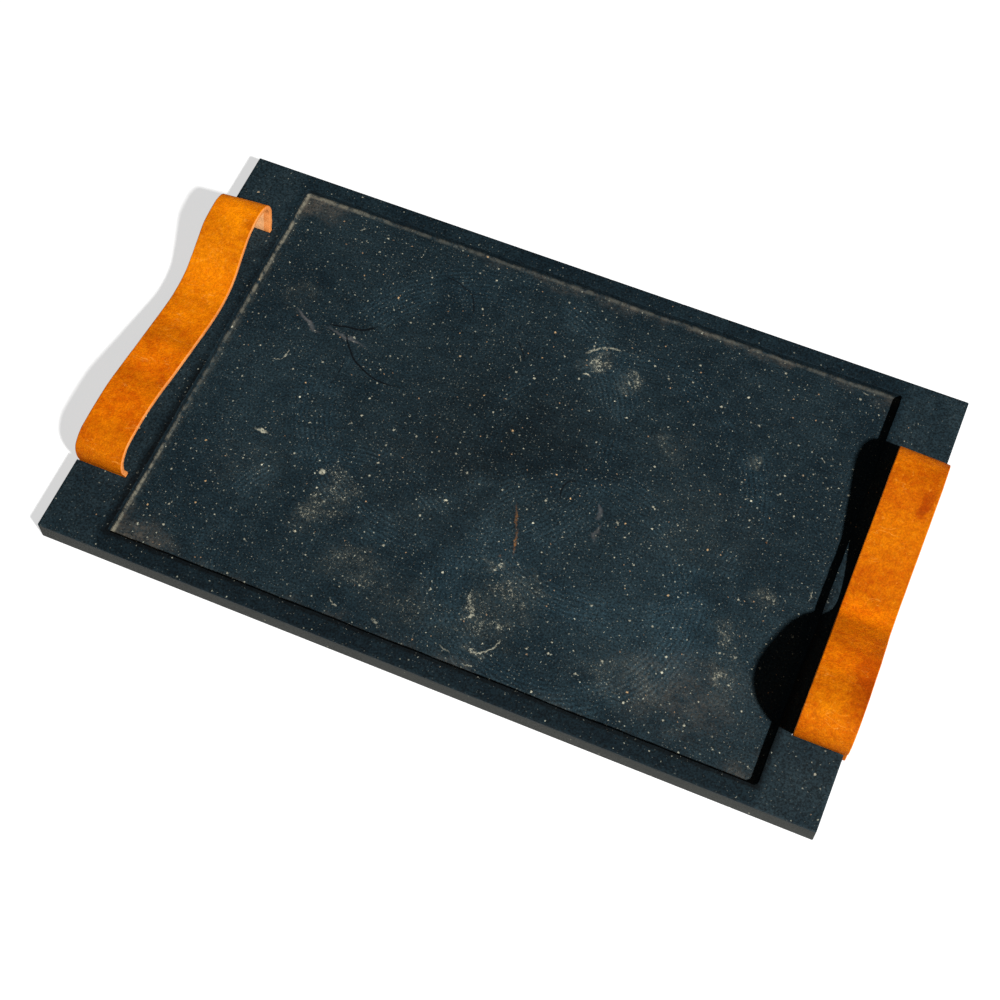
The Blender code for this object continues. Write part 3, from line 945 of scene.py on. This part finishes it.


# Where the grain side is pulled up paler, oiled darker, or made paler by painted light on slopes turned from
# the light: as the stone's tables
PULLED = [((-228, 62), (60, 72), 0, 1.0), ((-222, 40), (12, 14), 0, 0.5), ((-226, 84), (18, 22), 0, 0.5),
          ((224, -8), (10, 12), 0, 0.6), ((226, -92), (16, 12), 0, 0.5), ((230, 30), (50, 60), 0, 0.25)]
OILED = [((245, -72), (12, 40), 0, 0.9), ((242, 58), (8, 15), 12, 1.0), ((-213, 78), (6, 10), 0, 0.7),
         ((-218, -34), (10, 22), 0, 0.5), ((217, 66), (6, 20), 0, 0.4)]
PAINTED_LIGHT_PATCHES = [((231, -20), (60, 18), 0, 1.1), ((231, -36), (60, 18), 0, 1.4), ((231, -56), (60, 26), 0, 1.1),
          ((231, 94), (60, 24), 0, 0.9), ((-228, 92), (60, 22), 0, 1.1), ((-228, 10), (60, 24), 0, 0.8),
          ((-228, 40), (60, 26), 0, 0.5), ((-228, -28), (60, 28), 0, 1.3), ((-228, -64), (60, 38), 0, 0.9)]


def grain_leather(settings):
    """The oiled grain side: mottled and napped, paler where it is pulled up, with fine pale scratches and
    painted light on slopes turned from the light.
    """
    paint = Paint("grain_leather", Specular_IOR_Level=0.03)
    drifting = paint.moved(0.010, 0.012)
    broad = paint.noise(0.030, 3.0, 0.55)
    mottle = paint.noise(0.0040, 4.0, 0.74)
    nap = paint.noise(0.0013, 3.0, 0.72).within(0.28, 0.72)
    pulled = spots(paint, drifting, PULLED, 1.0)
    oiled = spots(paint, drifting, OILED, 1.0)
    share = (broad - 0.5) + (mottle - 0.5) * 1.6 + 0.28 + pulled * 0.55 - oiled * 0.42
    tone = paint.mix(share.clamped(), settings.deep, settings.bright)
    # Painted light: the grain side is made paler on the slopes that turn away from the light
    dust_and_painted_light = spots(paint, drifting, PAINTED_LIGHT_PATCHES, 1.0)
    tone = paint.multiply(tone, (0.80 + nap * 0.40) * (1.0 + dust_and_painted_light * 0.50))
    tone = paint.vector("MULTIPLY", tone, paint.mix(oiled, (1.0, 1.0, 1.0), (0.76, 0.60, 0.60)))
    drawn_out = paint.stretched(paint.moved(0.010, 0.030), (0.30, 1.6, 1.0), math.radians(35))
    vein = abs(paint.noise(0.0075, 2.0, 0.5, drawn_out) - 0.5).within(0.014, 0.0)
    shown = paint.noise(0.014, 2.0).within(0.52, 0.66)
    tone = paint.mix(vein * shown * 0.40, tone, (0.80, 0.34, 0.05))
    pores, _ = paint.specks(0.0018, 0.00032, 0.35)
    tone = paint.mix(pores * 0.40, tone, (0.20, 0.028, 0.0003))
    scuffs = paint.grit(0.0022, 0.50 + pulled * 0.30)
    tone = paint.mix(scuffs * 0.30, tone, (0.74, 0.27, 0.02))
    height = nap * 0.00010 + mottle * 0.00012
    return paint.finish(tone, 0.66 + nap * 0.16, height)


def cut_leather(settings):
    """The raw cut edges: pale packed fibres in layers."""
    paint = Paint("cut_leather", Specular_IOR_Level=0.07)
    fibre = paint.noise(0.0008, 3.0, 0.7, paint.stretched(paint.place, (1.0, 0.35, 1.0)))
    broad = paint.noise(0.012, 2.0)
    tone = paint.mix((fibre * 0.6 + broad * 0.4).within(0.30, 0.70), (0.52, 0.145, 0.025), settings.cut)
    return paint.finish(tone, 0.80 + fibre * 0.15, fibre * 0.00025)


def flesh_leather(settings):
    """The flesh side: pale, napped and soft."""
    paint = Paint("flesh_leather", Specular_IOR_Level=0.07)
    nap = paint.noise(0.0012, 4.0, 0.72)
    broad = paint.noise(0.016, 3.0)
    tone = paint.multiply(settings.flesh, 0.62 + nap * 0.40 + broad * 0.28)
    return paint.finish(tone, 0.88 + nap * 0.1, nap * 0.0003)


class SLAB_OT_straps(bpy.types.Operator):
    """Build the two leather strap handles"""
    bl_idname = "stone_slab.straps"
    bl_label = "Straps"

    def execute(self, context):
        settings = context.scene.slab_leather
        hole = context.scene.slab_metal.hole
        materials = [grain_leather(settings), cut_leather(settings), flesh_leather(settings)]
        for side in ("left", "right"):
            mesh = cut_away(strap_mesh(side, settings), screw_hole_cutter(side, hole))
            add_piece("leather_strap_" + side, mesh, materials, "handle_strap_" + side)
        return {"FINISHED"}


# Metal

def brushed_metal(name, colour, size):
    """Turned metal with faint rings, dulled in patches."""
    paint = Paint(name, Metallic=1.0)
    dull = paint.noise(0.004, 3.0)
    rings = paint.noise(size, 2.0, 0.6)
    tone = paint.multiply(colour, 0.70 + dull * 0.35 + rings * 0.15)
    return paint.finish(tone, 0.26 + dull * 0.22, rings * 0.00002)


class SLAB_OT_fasteners(bpy.types.Operator):
    """Finish the screws and the inserts that hold the straps"""
    bl_idname = "stone_slab.fasteners"
    bl_label = "Fasteners"

    def execute(self, context):
        settings = context.scene.slab_metal
        finishes = {"screw_": brushed_metal("screw_steel_finish", settings.steel, 0.0005),
                    "insert_": brushed_metal("insert_brass_finish", settings.brass, 0.0009)}
        for prefix, material in finishes.items():
            for corner in CORNERS:
                for slot in frame["nodes"][prefix + corner].material_slots:
                    slot.material = material
        return {"FINISHED"}


# Studio

class SLAB_OT_studio(bpy.types.Operator):
    """Set up the floor, the lights and the camera"""
    bl_idname = "stone_slab.studio"
    bl_label = "Studio"

    def execute(self, context):
        scene = context.scene
        settings = scene.slab_studio
        scene.view_settings.view_transform = "Standard"
        paint = Paint("studio_floor", Emission_Color=(1.0, 1.0, 1.0, 1.0), Emission_Strength=settings.glow)
        faint = paint.noise(0.20, 2.0)
        material = paint.finish(paint.multiply(settings.floor, 0.985 + faint * 0.03), 0.85)
        shape = bmesh.new()
        bmesh.ops.create_grid(shape, x_segments=8, y_segments=8, size=6.0)
        floor = linked("studio_floor", as_mesh(shape, "studio_floor"))
        floor.data.materials.append(material)
        floor.location.z = -0.1 * MM

        lamp = bpy.data.lights.new("key", "AREA")
        lamp.shape = "DISK"
        lamp.size = settings.key_size
        lamp.energy = settings.key_power
        key = linked("key", lamp)
        towards = Vector(settings.key_from).normalized()
        key.location = towards * settings.key_away
        key.rotation_euler = towards.to_track_quat("Z", "Y").to_euler()

        world = bpy.data.worlds.new("studio")
        world.use_nodes = True
        light = world.node_tree.nodes["Background"].inputs
        light["Strength"].default_value = settings.fill
        light["Color"].default_value = (1.0, 1.0, 1.0, 1.0)
        scene.world = world

        lens = bpy.data.cameras.new("camera")
        lens.lens = settings.lens
        camera = linked("camera", lens)
        camera.location = settings.place
        camera.rotation_euler = settings.turn
        scene.camera = camera
        return {"FINISHED"}


OPERATORS = (SLAB_OT_studio, SLAB_OT_stone, SLAB_OT_straps, SLAB_OT_fasteners)
SETTINGS = {"slab_stone": StoneSettings, "slab_leather": LeatherSettings, "slab_metal": MetalSettings,
            "slab_studio": StudioSettings}


class SLAB_PT_sidebar(bpy.types.Panel):
    """Builds the slab from the 3D view's sidebar"""
    bl_idname = "SLAB_PT_sidebar"
    bl_label = "Stone Slab"
    bl_space_type = "VIEW_3D"
    bl_region_type = "UI"
    bl_category = "Stone Slab"

    def draw(self, context):
        for operator in OPERATORS:
            self.layout.operator(operator.bl_idname)
        for name, group in SETTINGS.items():
            box = self.layout.box()
            for setting in group.__annotations__:
                box.prop(getattr(context.scene, name), setting)


def register():
    for group in (*SETTINGS.values(), *OPERATORS, SLAB_PT_sidebar):
        bpy.utils.register_class(group)
    for name, group in SETTINGS.items():
        setattr(bpy.types.Scene, name, PointerProperty(type=group))


def unregister():
    for name in SETTINGS:
        delattr(bpy.types.Scene, name)
    for group in (SLAB_PT_sidebar, *OPERATORS, *SETTINGS.values()):
        bpy.utils.unregister_class(group)


def main():
    register()
    bpy.ops.stone_slab.studio()
    bpy.ops.stone_slab.stone()
    bpy.ops.stone_slab.straps()
    bpy.ops.stone_slab.fasteners()


if __name__ == "__main__":
    main()
